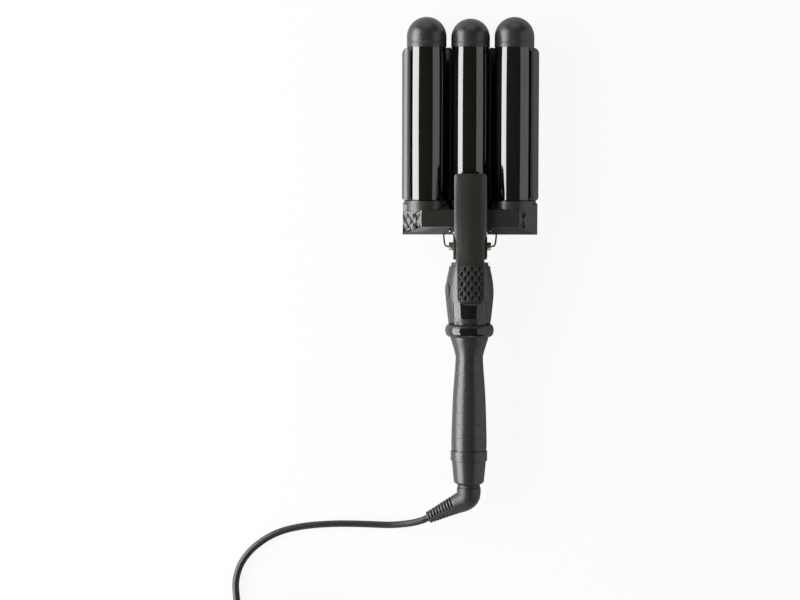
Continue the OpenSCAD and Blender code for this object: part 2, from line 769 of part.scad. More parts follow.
function path_gap(p, skip, d) = min([
  for (i = [0:len(p) - 1 - skip], k = [i + skip:len(p) - 1]) norm(p[i] - p[k]) - d
]);

function path_length(p) = path_sum([for (i = [1:len(p) - 1]) norm(p[i] - p[i - 1])]);
function path_sum(v) = v * [for (x = v) 1];

// ---------- neck ----------
module neck_frame() {
  color("#2c2c2c") difference() {
    union() {
      translate([-neck_half, 0, 0]) rotate([90, 0, 90]) linear_extrude(2 * neck_half) polygon(concat(
        [[-rest_half, 6], [-rest_half, slot_z - 4]], arc(hinge_y, hinge_z, ear_r - 1, 65, 140, 8),
        [[neck_y + 0.6, handle_z + 10], [neck_y + 0.6, handle_z - 9], [neck_y + 4, handle_z - 12]]
      ));
      along_y(0, body_y - 7, handle_z) cylinder(r = stem_r, h = neck_y + 0.7 - body_y + 7);
      along_y(0, body_y - shell_t - 3.2, handle_z) cylinder(r = stem_r + 2.6, h = 3);
    }
    translate([-fork_half, hinge_y - 9, fork_floor_z]) cube([2 * fork_half, 18, 40]);
    translate([-40, hinge_y, hinge_z]) rotate([0, 90, 0]) cylinder(r = pin_r + pin_gap, h = 80);
    for (x = [-wire_x, wire_x]) along_y(x, body_y - 8, neck_wire_z) cylinder(r = wire_r + 0.4, h = 100);
  }
}

module neck_ring() {
  color("#3a3a3a") along_y(0, body_y, handle_z) difference() {
    union() {
      cylinder(r = body_top_r, h = neck_ring_l);
      cylinder(r = neck_step_r, h = neck_ring_l + neck_step_l);
    }
    translate([0, 0, -over]) cylinder(r = stem_r + slip, h = 20);
  }
}

// ---------- casing ----------
body_points = [
  [body_top_r, 0], [lerp(body_top_r, body_r, 0.8), -11.6], [body_r, -22.4],
  [lerp(body_r, body_low_r, 0.55), -body_l + 9], [body_low_r, -body_l]
];
grip_points = [
  [grip_top_r, 0], [grip_top_r - 0.7, -2.6], [lerp(waist_r, grip_top_r, 0.12), -13.5], [waist_r, -21],
  [lerp(waist_r, grip_r, 0.66), -51], [grip_r, 9 - grip_l], [grip_end_r, -grip_l]
];
body_outline = [for (p = smooth(body_points, 4)) [p.x, p.y + body_y]];
grip_outline = [for (p = smooth(grip_points, 4)) [p.x, p.y + grip_y]];

// Solid of the casing's outline, drawn in by inset; the top and the foot come in by end_inset
module casing_solid(inset, end_inset) {
  upper = [for (p = body_outline) [p.x - inset, min(p.y, body_y - end_inset)]];
  lower = [for (p = grip_outline) [p.x - inset, p.y]];
  seat = ring_seat_r - inset;
  tail = tail_r - inset;
  along_y(0, 0, handle_z) rotate_extrude() polygon(concat(
    [[0, body_y - end_inset]], upper,
    [[seat, ring_y], [seat, grip_y]], lower,
    [[tail, band_y], [tail, band_y - tail_l], [0, band_y - tail_l]]
  ));
}

case_screw_y = [body_y - 12, ring_y - 12, grip_y - 55];
boss_r = 3.4;
case_head_r = shell_t;
case_head_t = 1.6;
case_seat_z = handle_z - 4;

module casing() {
  difference() {
    casing_solid(0, 0);
    casing_solid(shell_t, shell_t);
    along_y(0, body_y - 10, handle_z) cylinder(r = stem_r + slip, h = 20);
    along_y(0, band_y - tail_l - over, handle_z) cylinder(r = tail_r - shell_t, h = tail_l);
  }
  intersection() {
    casing_solid(1, 1);
    union() {
      for (y = case_screw_y) translate([0, y, 0]) cylinder(r = boss_r, h = 60);
      for (y = [board_y - 4, board_end_y + 4]) translate([-30, y, 0]) cube([60, 2, board_z]);
    }
  }
}

module button_space(r, z0) {
  translate([0, button_y, handle_z]) rotate([0, -button_angle, 0]) translate([0, 0, z0]) cylinder(r = r, h = 30);
}

module front_shell() {
  color("#383838") difference() {
    intersection() {
      casing();
      half_space(1);
    }
    window_plan(0, handle_z + 5);
    button_space(button_r + button_gap, 9);
    for (y = case_screw_y) translate([0, y, handle_z - over]) cylinder(r = screw_shank_r, h = 7);
  }
}

module rear_shell() {
  color("#343434") difference() {
    intersection() {
      casing();
      half_space(-1);
    }
    button_space(button_r + button_gap, 9);
    for (y = case_screw_y) {
      translate([0, y, -over]) cylinder(r = screw_shank_r + 0.2, h = 60);
      translate([0, y, -over]) cylinder(r = case_head_r + 0.2, h = case_seat_z + over);
    }
  }
}

module casing_screws() {
  color("#9a9a9a") for (y = case_screw_y) translate([0, y, case_seat_z]) {
    translate([0, 0, -case_head_t]) cylinder(r = case_head_r, h = case_head_t);
    translate([0, 0, -over]) cylinder(r = screw_shank_r - slip, h = handle_z - case_seat_z + 6);
  }
}

// ---------- display and control ----------
module window_plan(gap, z0) {
  rounded_block(-window_w / 2 + gap, window_w / 2 - gap, window_y - window_l + gap, window_y - gap, 1.5, z0, 60);
}

module display_window() {
  color("#0c0c0c") intersection() {
    difference() {
      casing_solid(0.15, 0);
      casing_solid(window_t, 0);
    }
    window_plan(slip, handle_z + 5);
  }
}

module display_module() {
  lcd_z = handle_z + 10.4;
  y0 = window_y - window_l + 1;
  color("#406050") {
    translate([-11, y0, lcd_z]) cube([22, window_l - 2, 2]);
    for (x = [-8.5, 7]) translate([x, y0, board_z + board_t]) cube([1.5, window_l - 2, lcd_z - board_z - board_t]);
  }
}

module control_board() {
  color("#2f6b3c") translate([-9, board_end_y, board_z]) cube([18, board_y - board_end_y, board_t]);
}

// Frame of the side control: its Z points out of the body's side
module button_frame() {
  translate([0, button_y, handle_z]) rotate([0, -button_angle, 0]) children();
}

button_crown_r = 24;
button_foot = body_r - 5.2;
button_axle = button_foot - 0.8;

module side_control() {
  color("#464646") button_frame() {
    intersection() {
      translate([0, 0, button_foot]) cylinder(r = button_r, h = 20);
      translate([0, 0, body_r + button_rise - button_crown_r]) sphere(r = button_crown_r);
    }
    translate([-1.4, -1.3, button_axle - 0.3]) cube([2.8, 2.6, 1.5]);
    translate([-3, 0, button_axle]) rotate([0, 90, 0]) cylinder(r = 0.8, h = 6);
  }
}

// Switch under the side control: it carries the control's axle and stands on the board
module switch_block() {
  color("#707070") difference() {
    union() {
      button_frame() {
        translate([-4, -6, button_axle - 4.3]) cube([8, 12, 3]);
        for (y = [-4.2, 4.2]) translate([0, y, button_axle - 2]) cylinder(r = 1.2, h = 2.5);
        for (x = [-3.2, 1.6]) translate([x, -1.5, button_axle - 2]) cube([1.6, 3, 2.7]);
      }
      translate([-9, button_y - 5, board_z + board_t]) cube([2.6, 10, 3]);
    }
    button_frame() translate([-5, 0, button_axle]) rotate([0, 90, 0]) cylinder(r = 0.85, h = 10);
  }
}

module wire_run(points) {
  path = smooth(points, 2);
  tube(path, [for (p = path) wire_r], 6, [0, 0, 1]);
}

// Supply wires from the swivel to the board, heater wires from the board to the rear jaw
module inner_wires() {
  on_board = board_z + board_t + wire_r + fine;
  color("#a03030") for (side = [-1, 1]) {
    wire_run([
      [side * 1.5, elbow_y + 1, handle_z], [side * 1.5, elbow_y + 9, handle_z],
      [side * 1.7, cap_end_y + 9, handle_z], [side * 4.5, cap_y - 3, on_board],
      [side * wire_x, band_y + 4, on_board], [side * wire_x, grip_y - 60, on_board],
      [side * wire_x, grip_y - 20, on_board], [side * wire_x, board_end_y + 5, on_board]
    ]);
    wire_run([
      [side * wire_x, board_y - 5, on_board], [side * wire_x, board_y - 2, on_board],
      [side * wire_x, board_y + 1, on_board], [side * wire_x, board_y + 3, on_board - 0.6], [side * wire_x, body_y - 9, neck_wire_z + 0.3],
      [side * wire_x, body_y - 5, neck_wire_z], [side * wire_x, hinge_y, neck_wire_z],
      [side * wire_x, -rest_half + 4, neck_wire_z]
    ]);
  }
}

module trim_ring() {
  color("#333333") difference() {
    trim_ring_solid(0);
    along_y(0, grip_y - over, handle_z) cylinder(r = ring_seat_r + slip, h = ring_l + 2 * over);
    inlay_space(0, 1.4);
  }
}

// The ring's outline swells from the casing's radius to the ring's
module trim_ring_solid(grow) {
  edge = ring_r - 3.4;
  along_y(0, grip_y, handle_z) rotate_extrude() polygon(concat(
    [[0, 0.2]],
    [for (k = [0:12]) let (a = 180 * k / 12) [edge + grow + (ring_r - edge) * sin(a), ring_l / 2 - (ring_l / 2 - 0.2) * cos(a)]],
    [[0, ring_l - 0.2]]
  ));
}

module inlay_space(gap, depth) {
  intersection() {
    difference() {
      trim_ring_solid(0.15);
      trim_ring_solid(-depth);
    }
    rounded_block(-inlay_w / 2 + gap, inlay_w / 2 - gap, inlay_y + gap, inlay_y + inlay_l - gap, 2.6, handle_z + 4, 60);
  }
}

inlay_y = grip_y + 1.8;

module ring_inlay() { color("#0c0c0c") inlay_space(0.08, 1.3); }

// ---------- end of the handle ----------
module end_band() {
  color("#3a3a3a") along_y(0, cap_y + fine, handle_z) difference() {
    cylinder(r = band_r, h = band_l - 2 * fine);
    translate([0, 0, -over]) cylinder(r = tail_r + slip, h = band_l + 2 * over);
  }
}

module end_cap() {
  foot = 3.2;
  waist = cap_r - 1.5;
  color("#383838") along_y(0, cap_end_y, handle_z) difference() {
    rotate_extrude() polygon(concat(
      [[0, 0], [cap_end_r, 0]], smooth([[cap_end_r, 0], [waist - 0.7, 1.1], [waist, 3], [cap_r, cap_l]], 4), [[0, cap_l]]
    ));
    translate([0, 0, cap_l - 6]) cylinder(r = tail_r + slip, h = 20);
    translate([0, 0, foot]) cylinder(r = waist - 2.2, h = 20);
    translate([0, 0, -over]) cylinder(r = spigot_r + spigot_gap, h = 20);
  }
}

module swivel_spigot() {
  flange_y = cap_end_y + 3.2 + 0.2;
  color("#b8b8b8") along_y(0, elbow_y, handle_z) difference() {
    union() {
      cylinder(r = spigot_r, h = flange_y - elbow_y + 3);
      translate([0, 0, flange_y - elbow_y]) cylinder(r = spigot_r + 2, h = 2);
      cylinder(r = elbow_r - 0.6, h = cap_end_y - elbow_y - 0.5);
    }
    translate([0, 0, -over]) cylinder(r = 3, h = 40);
  }
}

// Elbow-shaped strain relief with rib slots on both sides of its taper
module strain_relief_elbow() {
  flat = smooth([for (p = elbow_path) [p.x, p.y, 0]], 3);
  radii = [for (r = smooth([for (r = elbow_radii) [r, 0]], 3)) r.x];
  color("#262626") translate([0, elbow_y, handle_z]) rotate([0, -elbow_roll, 0]) difference() {
    tube(flat, radii, 24, [0, 0, 1]);
    for (k = [0:elbow_slots - 1], side = [-1, 1]) slot_cut(k, side);
  }
}

elbow_dir = elbow_path[8] - elbow_path[5];
elbow_angle = atan2(elbow_dir.y, elbow_dir.x);
elbow_twist = 25;

// A slot between two ribs; a spine stays between both rows of slots, and a core round the cord
module slot_cut(k, side) {
  t = (k + 0.6) / (elbow_slots + 0.4);
  spot = lerp(elbow_path[5], elbow_path[8], t);
  deep = lerp(elbow_radii[5], elbow_tip_r, t) + over;
  spine = lerp(2.4, 1, t);
  translate([spot.x, spot.y, 0]) rotate([0, 0, elbow_angle]) rotate([-elbow_twist, 0, 0]) difference() {
    translate([-0.65, side > 0 ? spine : -deep, -deep]) cube([1.3, deep - spine, 2 * deep]);
    translate([-over, 0, 0]) rotate([0, 90, 0]) cylinder(r = cord_r + 0.3, h = 2 * over);
  }
}

// ---------- cord and plug ----------
coil_steps = 24;
coil_count = coil_turns * coil_layers;
function coil_layer(t) = floor(min(t, coil_count - 0.001) / coil_turns);
// Radius runs in over one layer and out over the next, at a steady rate
function coil_radius(t) =
  let (layer = coil_layer(t), f = t / coil_turns - layer)
    coil_r - coil_pitch * coil_turns * (layer % 2 == 0 ? f : 1 - f);
// Height stays on a layer and climbs during the half turn about each reversal
function coil_climb(t) =
  let (edge = round(t / coil_turns), away = t - edge * coil_turns)
    edge < 1 || edge > coil_layers - 1 ? coil_layer(t)
      : edge - 0.5 + max(-0.5, min(0.5, 2 * away)) ;
coil_path = [
  for (k = [0:coil_count * coil_steps])
    let (t = k / coil_steps, a = 180 + 360 * t)
      [coil_x + coil_radius(t) * cos(a), coil_y + coil_radius(t) * sin(a), coil_z + coil_pitch * coil_climb(t)]
];

// The ends of the coil, and the way that the cord runs there
coil_in = coil_path[0];
coil_in_way = unit(coil_path[1] - coil_path[0]);
coil_out = coil_path[coil_count * coil_steps];
coil_out_way = unit(coil_out - coil_path[coil_count * coil_steps - 1]);
lead_path = smooth(concat(
  [lead_start, lead_next, lead_third], lead_points,
  [coil_in - 9 * coil_in_way, coil_in - 4.5 * coil_in_way, coil_in - 0.12 * coil_in_way]
), 2);
tail_path = smooth(concat(
  [coil_out + 0.12 * coil_out_way, coil_out + 3 * coil_out_way, coil_out + 6 * coil_out_way], tail_points,
  [[plug_x - 5, plug_y, plug_z], [plug_x - 2.5, plug_y, plug_z], [plug_x - 0.04, plug_y, plug_z]]
), 2);

module cord(path, sides) {
  color("#181818") tube(path, [for (p = path) cord_r], sides, [0, 0, 1]);
}

module cord_lead() { cord(lead_path, 8); }
module cord_coil() { cord(coil_path, 6); }
module cord_tail() { cord(tail_path, 8); }

// Strap round the two by four turns at the coil's right side
module coil_tie() {
  inner = coil_r - (coil_turns - 0.5) * coil_pitch - cord_r - 0.5;
  outer = coil_r - coil_pitch / 2 + cord_r + slip;
  high = coil_z + (coil_layers - 1) * coil_pitch + cord_r + slip;
  low = coil_z - cord_r - slip;
  color("#202020") translate([coil_x, coil_y + tie_w / 2, 0]) rotate([90, 0, 0]) linear_extrude(tie_w) difference() {
    translate([inner - tie_t, low - tie_t]) square([outer - inner + 2 * tie_t, high - low + 2 * tie_t]);
    translate([inner, low]) square([outer - inner, high - low]);
  }
}

module plug_body() {
  front = nub_l + plug_l;
  w = plug_w / 2;
  t = plug_t / 2;
  plan = concat(
    [[nub_l - 4, -6], [nub_l + 10, -w + 5]], arc(front - 14, -w + 4, 4, 250, 270, 2),
    arc(front - 3, -w + 3, 3, 270, 360, 4), arc(front - 3, w - 3, 3, 0, 90, 4), arc(front - 14, w - 4, 4, 90, 110, 2),
    [[nub_l + 10, w - 5], [nub_l - 4, 6]]
  );
  side = [
    [nub_l - 4, -t + 2], [nub_l, -t], [front - 1, -t], [front, -t + 1],
    [front, t - 1], [front - 1, t], [nub_l, t], [nub_l - 4, t - 2]
  ];
  color("#202020") translate([plug_x, plug_y, plug_z]) {
    intersection() {
      translate([0, 0, -t - over]) linear_extrude(plug_t + 2 * over) polygon(plan);
      rotate([90, 0, 0]) translate([0, 0, -w - over]) linear_extrude(plug_w + 2 * over) polygon(side);
    }
    rotate([0, 90, 0]) cylinder(r1 = cord_r + 0.9, r2 = cord_r + 1.8, h = nub_l);
  }
}

module plug_pins() {
  color("#c0c0c0") for (side = [-1, 1])
    translate([plug_x + nub_l + plug_l, plug_y + side * plug_pitch / 2, plug_z]) rotate([0, 90, 0])
      cylinder(r = plug_pin_r, h = plug_pin_l);
}

echo("least gap of the closing spring to itself", path_gap(spring_path, 6, 2 * spring_wire_r));
echo("least gap of the coil to itself", path_gap(coil_path, 8, cord_d));
echo("length of the cord", path_length(lead_path) + path_length(coil_path) + path_length(tail_path));

left_barrel();
right_barrel();
centre_barrel();
left_tip();
right_tip();
centre_tip();
left_collar();
right_collar();
centre_collar();
left_heater();
right_heater();
centre_heater();
left_wing();
right_wing();
wing_screws();
rear_spine();
crossbar_housing();
crossbar_back_covers();
crossbar_screws();
rear_jaw_base();
lever();
thumb_pad();
hinge_pin();
left_heater_lead();
right_heater_lead();
closing_spring();
neck_frame();
neck_ring();
front_shell();
rear_shell();
casing_screws();
display_window();
display_module();
control_board();
side_control();
switch_block();
inner_wires();
trim_ring();
ring_inlay();
end_band();
end_cap();
swivel_spigot();
strain_relief_elbow();
cord_lead();
cord_coil();
cord_tail();
coil_tie();
plug_body();
plug_pins();
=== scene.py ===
import json
import math

import bmesh
import bpy
from mathutils import Matrix, Vector


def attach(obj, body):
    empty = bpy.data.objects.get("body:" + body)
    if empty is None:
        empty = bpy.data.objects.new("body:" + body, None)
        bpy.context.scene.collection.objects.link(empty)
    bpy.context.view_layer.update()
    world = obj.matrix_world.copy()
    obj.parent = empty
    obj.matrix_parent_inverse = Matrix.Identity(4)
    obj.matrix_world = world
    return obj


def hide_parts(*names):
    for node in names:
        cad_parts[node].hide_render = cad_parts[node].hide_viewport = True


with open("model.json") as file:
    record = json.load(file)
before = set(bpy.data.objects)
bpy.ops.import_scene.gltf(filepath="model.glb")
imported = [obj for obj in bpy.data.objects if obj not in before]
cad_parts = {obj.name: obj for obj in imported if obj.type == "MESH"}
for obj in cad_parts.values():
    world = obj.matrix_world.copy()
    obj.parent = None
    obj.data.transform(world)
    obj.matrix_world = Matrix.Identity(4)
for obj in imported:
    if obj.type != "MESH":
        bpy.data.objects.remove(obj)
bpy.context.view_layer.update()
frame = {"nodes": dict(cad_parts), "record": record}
mm = 0.001


# ---- camera: straight down on the tool, seen a little from the tips' side ----
cameraSetup = {"target": (-57.6, -65.2, 20), "distance": 2200, "tilt": 4.3, "roll": 0.12, "lens": 119.5}


def placeCamera(setup):
    lean = math.radians(setup["tilt"])
    target = Vector(setup["target"]) * mm
    spot = target + Vector((0, math.sin(lean), math.cos(lean))) * setup["distance"] * mm
    data = bpy.data.cameras.new("photoCamera")
    data.lens = setup["lens"]
    data.clip_start = 0.05
    data.clip_end = 20
    camera = bpy.data.objects.new("photoCamera", data)
    bpy.context.scene.collection.objects.link(camera)
    turn = Matrix.Rotation(-lean, 4, "X") @ Matrix.Rotation(math.radians(setup["roll"]), 4, "Z")
    camera.matrix_world = Matrix.Translation(spot) @ turn
    bpy.context.scene.camera = camera


placeCamera(cameraSetup)


# ---- cord: the same route as the solids, from the elbow's tip to the plug ----
cordRoute = {
    "diameter": 5.8,
    "lead": [
        (-45.9, -252.9, 9.8), (-55.9, -254.8, 6.6), (-67.7, -255.8, 4.1), (-86.2, -255.3, 3), (-107.2, -255, 3),
        (-125.7, -255.8, 3), (-140.8, -257.6, 3), (-154.3, -260.7, 3), (-164.7, -264.9, 3), (-173.1, -270, 3),
        (-181.3, -276.6, 3), (-187.5, -283.9, 3), (-191.5, -290.7, 3), (-194.2, -298.4, 3), (-195.4, -306.9, 3),
        (-194.9, -316, 3), (-193.9, -326, 3), (-193.3, -337, 3.3),
    ],
    "tail": [
        (-191.8, -370.9, 22.9), (-185.8, -387.3, 22.4), (-171.3, -398.8, 18.8), (-152.7, -401.8, 13.5),
        (-134, -397, 8), (-117, -386, 4.2), (-104, -376, 3), (-92, -369, 4.2), (-83, -366.2, 6.4),
    ],
    "elbowTip": (-33.257, -247.9, 13.131),
    "elbowWay": (-0.8772, -0.4426, -0.1865),
    "plugEnd": (-74, -366, 6.85),
    "coilCentre": (-156.5, -358),
    "coilRadius": 36.5,
    "coilFloor": 3.85,
    "coilPitch": 6.35,
    "coilTurns": 2,
    "coilLayers": 4,
}


def smoothRoute(points, steps):
    found = []
    last = len(points) - 1
    for i in range(last):
        a, b, c, d = (points[max(i - 1, 0)], points[i], points[i + 1], points[min(i + 2, last)])
        for k in range(steps):
            t = k / steps
            found.append(0.5 * (2 * b + (c - a) * t + (2 * a - 5 * b + 4 * c - d) * t * t
                                + (3 * b - a - 3 * c + d) * t ** 3))
    return found + [points[last]]


def coilPoint(route, turn):
    count = route["coilTurns"] * route["coilLayers"]
    layer = math.floor(min(turn, count - 0.001) / route["coilTurns"])
    part = turn / route["coilTurns"] - layer
    inward = part if layer % 2 == 0 else 1 - part
    radius = route["coilRadius"] - route["coilPitch"] * route["coilTurns"] * inward
    edge = math.floor(turn / route["coilTurns"] + 0.5)
    away = turn - edge * route["coilTurns"]
    climb = layer if edge < 1 or edge > route["coilLayers"] - 1 else edge - 0.5 + max(-0.5, min(0.5, 2 * away))
    angle = math.radians(180 + 360 * turn)
    x, y = route["coilCentre"]
    return Vector((x + radius * math.cos(angle), y + radius * math.sin(angle),
                   route["coilFloor"] + route["coilPitch"] * climb))


def cordPoints(route):
    count = route["coilTurns"] * route["coilLayers"]
    tip, way = Vector(route["elbowTip"]), Vector(route["elbowWay"])
    plug = Vector(route["plugEnd"])
    into = coilPoint(route, 0)
    intoWay = (coilPoint(route, 1 / 24) - into).normalized()
    out = coilPoint(route, count)
    outWay = (out - coilPoint(route, count - 1 / 24)).normalized()
    lead = [tip, tip + 3 * way, tip + 6 * way] + [Vector(p) for p in route["lead"]]
    lead += [into - 9 * intoWay, into - 4.5 * intoWay, into]
    tail = [out, out + 3 * outWay, out + 6 * outWay] + [Vector(p) for p in route["tail"]]
    tail += [plug - Vector((5, 0, 0)), plug - Vector((2.5, 0, 0)), plug]
    coil = [coilPoint(route, k / 48) for k in range(1, count * 48)]
    return smoothRoute(lead, 5) + coil + smoothRoute(tail, 5)


def curveTube(name, points, radius, sides):
    data = bpy.data.curves.new(name, "CURVE")
    data.dimensions = "3D"
    data.bevel_depth = 1
    data.bevel_resolution = sides // 4 - 1
    data.use_fill_caps = True
    spline = data.splines.new("POLY")
    spline.points.add(len(points) - 1)
    for spot, point in zip(spline.points, points):
        spot.co = (point.x * mm, point.y * mm, point.z * mm, 1)
        spot.radius = radius * mm
    piece = bpy.data.objects.new(name, data)
    bpy.context.scene.collection.objects.link(piece)
    return piece


cordLine = cordPoints(cordRoute)
mainsCord = curveTube("mains_cord", cordLine, cordRoute["diameter"] / 2, 16)
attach(mainsCord, "cord_swivel")
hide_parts("cord_lead", "cord_coil", "cord_tail")
cordLength = sum((b - a).length for a, b in zip(cordLine, cordLine[1:])) * mm
print("cord", round(cordLength, 3), "m")


# ---- shader tools ----
class Tone:
    def __init__(self, socket):
        self.socket = socket

    def join(self, operation, other, flipped=False):
        tree = self.socket.node.id_data
        made = tree.nodes.new("ShaderNodeMath")
        made.operation = operation
        for slot, part in zip(made.inputs, (other, self) if flipped else (self, other)):
            if isinstance(part, Tone):
                tree.links.new(part.socket, slot)
            else:
                slot.default_value = part
        return Tone(made.outputs[0])

    def __add__(self, other):
        return self.join("ADD", other)

    def __radd__(self, other):
        return self.join("ADD", other, True)

    def __mul__(self, other):
        return self.join("MULTIPLY", other)


class Finish:
    def __init__(self, name, fixed):
        self.material = bpy.data.materials.new(name)
        self.material.use_nodes = True
        self.tree = self.material.node_tree
        self.shader = self.tree.nodes["Principled BSDF"]
        for socket, value in fixed.items():
            self.shader.inputs[socket].default_value = value

    def add(self, kind, settings=None, feeds=None, out=0):
        made = self.tree.nodes.new("ShaderNode" + kind)
        for key, value in (settings or {}).items():
            setattr(made, key, value)
        for key, value in (feeds or {}).items():
            self.feed(made.inputs[key], value)
        return Tone(made.outputs[out])

    def feed(self, socket, value):
        if isinstance(value, Tone):
            self.tree.links.new(value.socket, socket)
        elif isinstance(value, tuple) and len(value) == 3 and socket.type == "RGBA":
            socket.default_value = (*value, 1)
        else:
            socket.default_value = value

    def surface(self, **feeds):
        for key, value in feeds.items():
            self.feed(self.shader.inputs[key.replace("_", " ")], value)
        return self.material

    def place(self):
        return self.add("TexCoord", out="Object")

    def noise(self, scale, detail=2.0, where=None):
        return self.add("TexNoise", feeds={"Vector": where or self.place(), "Scale": scale, "Detail": detail})

    def shade(self, mask, low, high):
        return self.add("Mix", {"data_type": "RGBA"}, {0: mask, 6: low, 7: high}, out=2)

    def bump(self, height, strength, distance):
        return self.add("Bump", feeds={"Height": height, "Strength": strength, "Distance": distance})


# ---- finishes ----
def grainyPlastic(name, colour, lighter, rough, grain):
    finish = Finish(name, {"IOR": 1.6})
    wide = finish.noise(45, 3)
    fine = finish.noise(2600, 2)
    return finish.surface(
        Base_Color=finish.shade(wide * 0.6 + fine * 0.4, colour, lighter),
        Roughness=rough - 0.04 + wide * 0.08,
        Normal=finish.bump(fine, grain, 0.0002),
    )


def glossyCoat(name, colour, rough, ior):
    finish = Finish(name, {"IOR": ior})
    cloud = finish.noise(60, 3)
    speck = finish.noise(1500, 1)
    return finish.surface(
        Base_Color=finish.shade(cloud, colour, tuple(1.3 * c for c in colour)),
        Roughness=rough + cloud * 0.03 + speck * 0.02,
    )


def turnedMetal(name, colour, darker, rough):
    finish = Finish(name, {"Metallic": 1.0})
    cloud = finish.noise(300, 3)
    return finish.surface(
        Base_Color=finish.shade(cloud, darker, colour),
        Roughness=rough + cloud * 0.12,
    )


finishes = {
    "barrel_coating": glossyCoat("barrelGloss", (0.0042, 0.0036, 0.003), 0.05, 1.9),
    "wing_coating": glossyCoat("wingSatin", (0.05, 0.05, 0.05), 0.3, 1.6),
    "gloss_black": glossyCoat("windowGloss", (0.006, 0.006, 0.007), 0.03, 1.6),
    "barrel_plastic": grainyPlastic("collarGrain", (0.022, 0.0215, 0.0195), (0.03, 0.029, 0.0265), 0.32, 0.2),
    "body_plastic": grainyPlastic("bodyGrain", (0.022, 0.0215, 0.0195), (0.03, 0.029, 0.0265), 0.29, 0.2),
    "rear_plastic": grainyPlastic("rearGrain", (0.016, 0.016, 0.016), (0.024, 0.024, 0.024), 0.55, 0.3),
    "trim_plastic": grainyPlastic("trimGrain", (0.024, 0.0235, 0.0215), (0.032, 0.031, 0.0285), 0.28, 0.15),
    "swivel_plastic": grainyPlastic("swivelGrain", (0.012, 0.012, 0.012), (0.018, 0.018, 0.018), 0.5, 0.2),
    "pad_rubber": grainyPlastic("padRubber", (0.02, 0.0195, 0.018), (0.03, 0.029, 0.027), 0.5, 0.3),
    "cord_rubber": grainyPlastic("cordRubber", (0.012, 0.012, 0.013), (0.018, 0.018, 0.018), 0.45, 0.25),
    "lead_rubber": grainyPlastic("leadRubber", (0.008, 0.008, 0.008), (0.014, 0.014, 0.014), 0.5, 0.2),
    "tie_plastic": grainyPlastic("tieGrain", (0.02, 0.02, 0.02), (0.03, 0.03, 0.03), 0.5, 0.3),
    "plug_plastic": grainyPlastic("plugGrain", (0.014, 0.014, 0.014), (0.022, 0.022, 0.022), 0.42, 0.25),
    "display_grey": grainyPlastic("displayGlass", (0.2, 0.22, 0.2), (0.26, 0.28, 0.26), 0.3, 0.1),
    "switch_grey": grainyPlastic("switchGrain", (0.12, 0.12, 0.12), (0.16, 0.16, 0.16), 0.5, 0.2),
    "board_green": grainyPlastic("boardLacquer", (0.02, 0.1, 0.035), (0.03, 0.14, 0.05), 0.35, 0.15),
    "wire_red": grainyPlastic("wireSleeve", (0.2, 0.02, 0.015), (0.28, 0.03, 0.02), 0.45, 0.15),
    "heater_metal": turnedMetal("heaterMetal", (0.6, 0.57, 0.52), (0.45, 0.43, 0.4), 0.4),
    "screw_steel": turnedMetal("screwSteel", (0.62, 0.62, 0.63), (0.5, 0.5, 0.5), 0.28),
    "spring_steel": turnedMetal("springSteel", (0.55, 0.55, 0.56), (0.42, 0.42, 0.43), 0.3),
    "pin_brass": turnedMetal("pinBrass", (0.85, 0.78, 0.6), (0.7, 0.62, 0.46), 0.24),
    "plug_metal": turnedMetal("plugNickel", (0.72, 0.7, 0.66), (0.6, 0.58, 0.55), 0.18),
}
slotOf = {part["node"]: part["material_slot"] for part in frame["record"]["subparts"]}


def dress(piece, slotName):
    piece.data.materials.clear()
    piece.data.materials.append(finishes[slotName])


for nodeName, nodeObject in frame["nodes"].items():
    nodeObject.data.materials.clear()
    nodeObject.data.materials.append(finishes[slotOf[nodeName]])
dress(mainsCord, "cord_rubber")
print("finishes", len(finishes))


# ---- modelling tools ----
def pickOnly(piece):
    bpy.ops.object.select_all(action="DESELECT")
    piece.select_set(True)
    bpy.context.view_layer.objects.active = piece


def startEdit(piece, kind="FACE"):
    pickOnly(piece)
    bpy.ops.object.mode_set(mode="EDIT")
    bpy.ops.mesh.select_mode(type=kind)
    bpy.ops.mesh.select_all(action="DESELECT")


def endEdit():
    bpy.ops.object.mode_set(mode="OBJECT")


def chooseFaces(piece, test):
    grid = bmesh.from_edit_mesh(piece.data)
    for face in grid.faces:
        face.select_set(bool(test(face.calc_center_median() / mm, face.normal)))
    bmesh.update_edit_mesh(piece.data)


def chooseVerts(piece, test):
    grid = bmesh.from_edit_mesh(piece.data)
    for spot in grid.verts:
        spot.select_set(bool(test(spot.co / mm)))
    grid.select_flush_mode()
    bmesh.update_edit_mesh(piece.data)


def applyModifier(piece, kind, **settings):
    pickOnly(piece)
    modifier = piece.modifiers.new("shape", kind)
    for key, value in settings.items():
        setattr(modifier, key, value)
    bpy.ops.object.modifier_apply(modifier=modifier.name)


def soften(piece, width, steps=2, angle=35):
    applyModifier(piece, "BEVEL", width=width * mm, segments=steps, limit_method="ANGLE",
                  angle_limit=math.radians(angle), use_clamp_overlap=True, miter_outer="MITER_ARC")


def smoothShade(piece, angle=32):
    pickOnly(piece)
    bpy.ops.object.shade_smooth_by_angle(angle=math.radians(angle))


def settle(piece, body, slotName, *replaced, angle=32):
    bpy.ops.object.select_all(action="DESELECT")
    smoothShade(piece, angle)
    piece.data.materials.clear()
    piece.data.materials.append(finishes[slotName])
    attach(piece, body)
    if replaced:
        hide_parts(*replaced)


def cleanCopy(nodeName, name):
    piece = bpy.data.objects.new(name, frame["nodes"][nodeName].data.copy())
    bpy.context.scene.collection.objects.link(piece)
    startEdit(piece)
    bpy.ops.mesh.select_all(action="SELECT")
    bpy.ops.mesh.remove_doubles(threshold=0.000004)
    bpy.ops.mesh.dissolve_limited(angle_limit=math.radians(0.8))
    endEdit()
    return piece


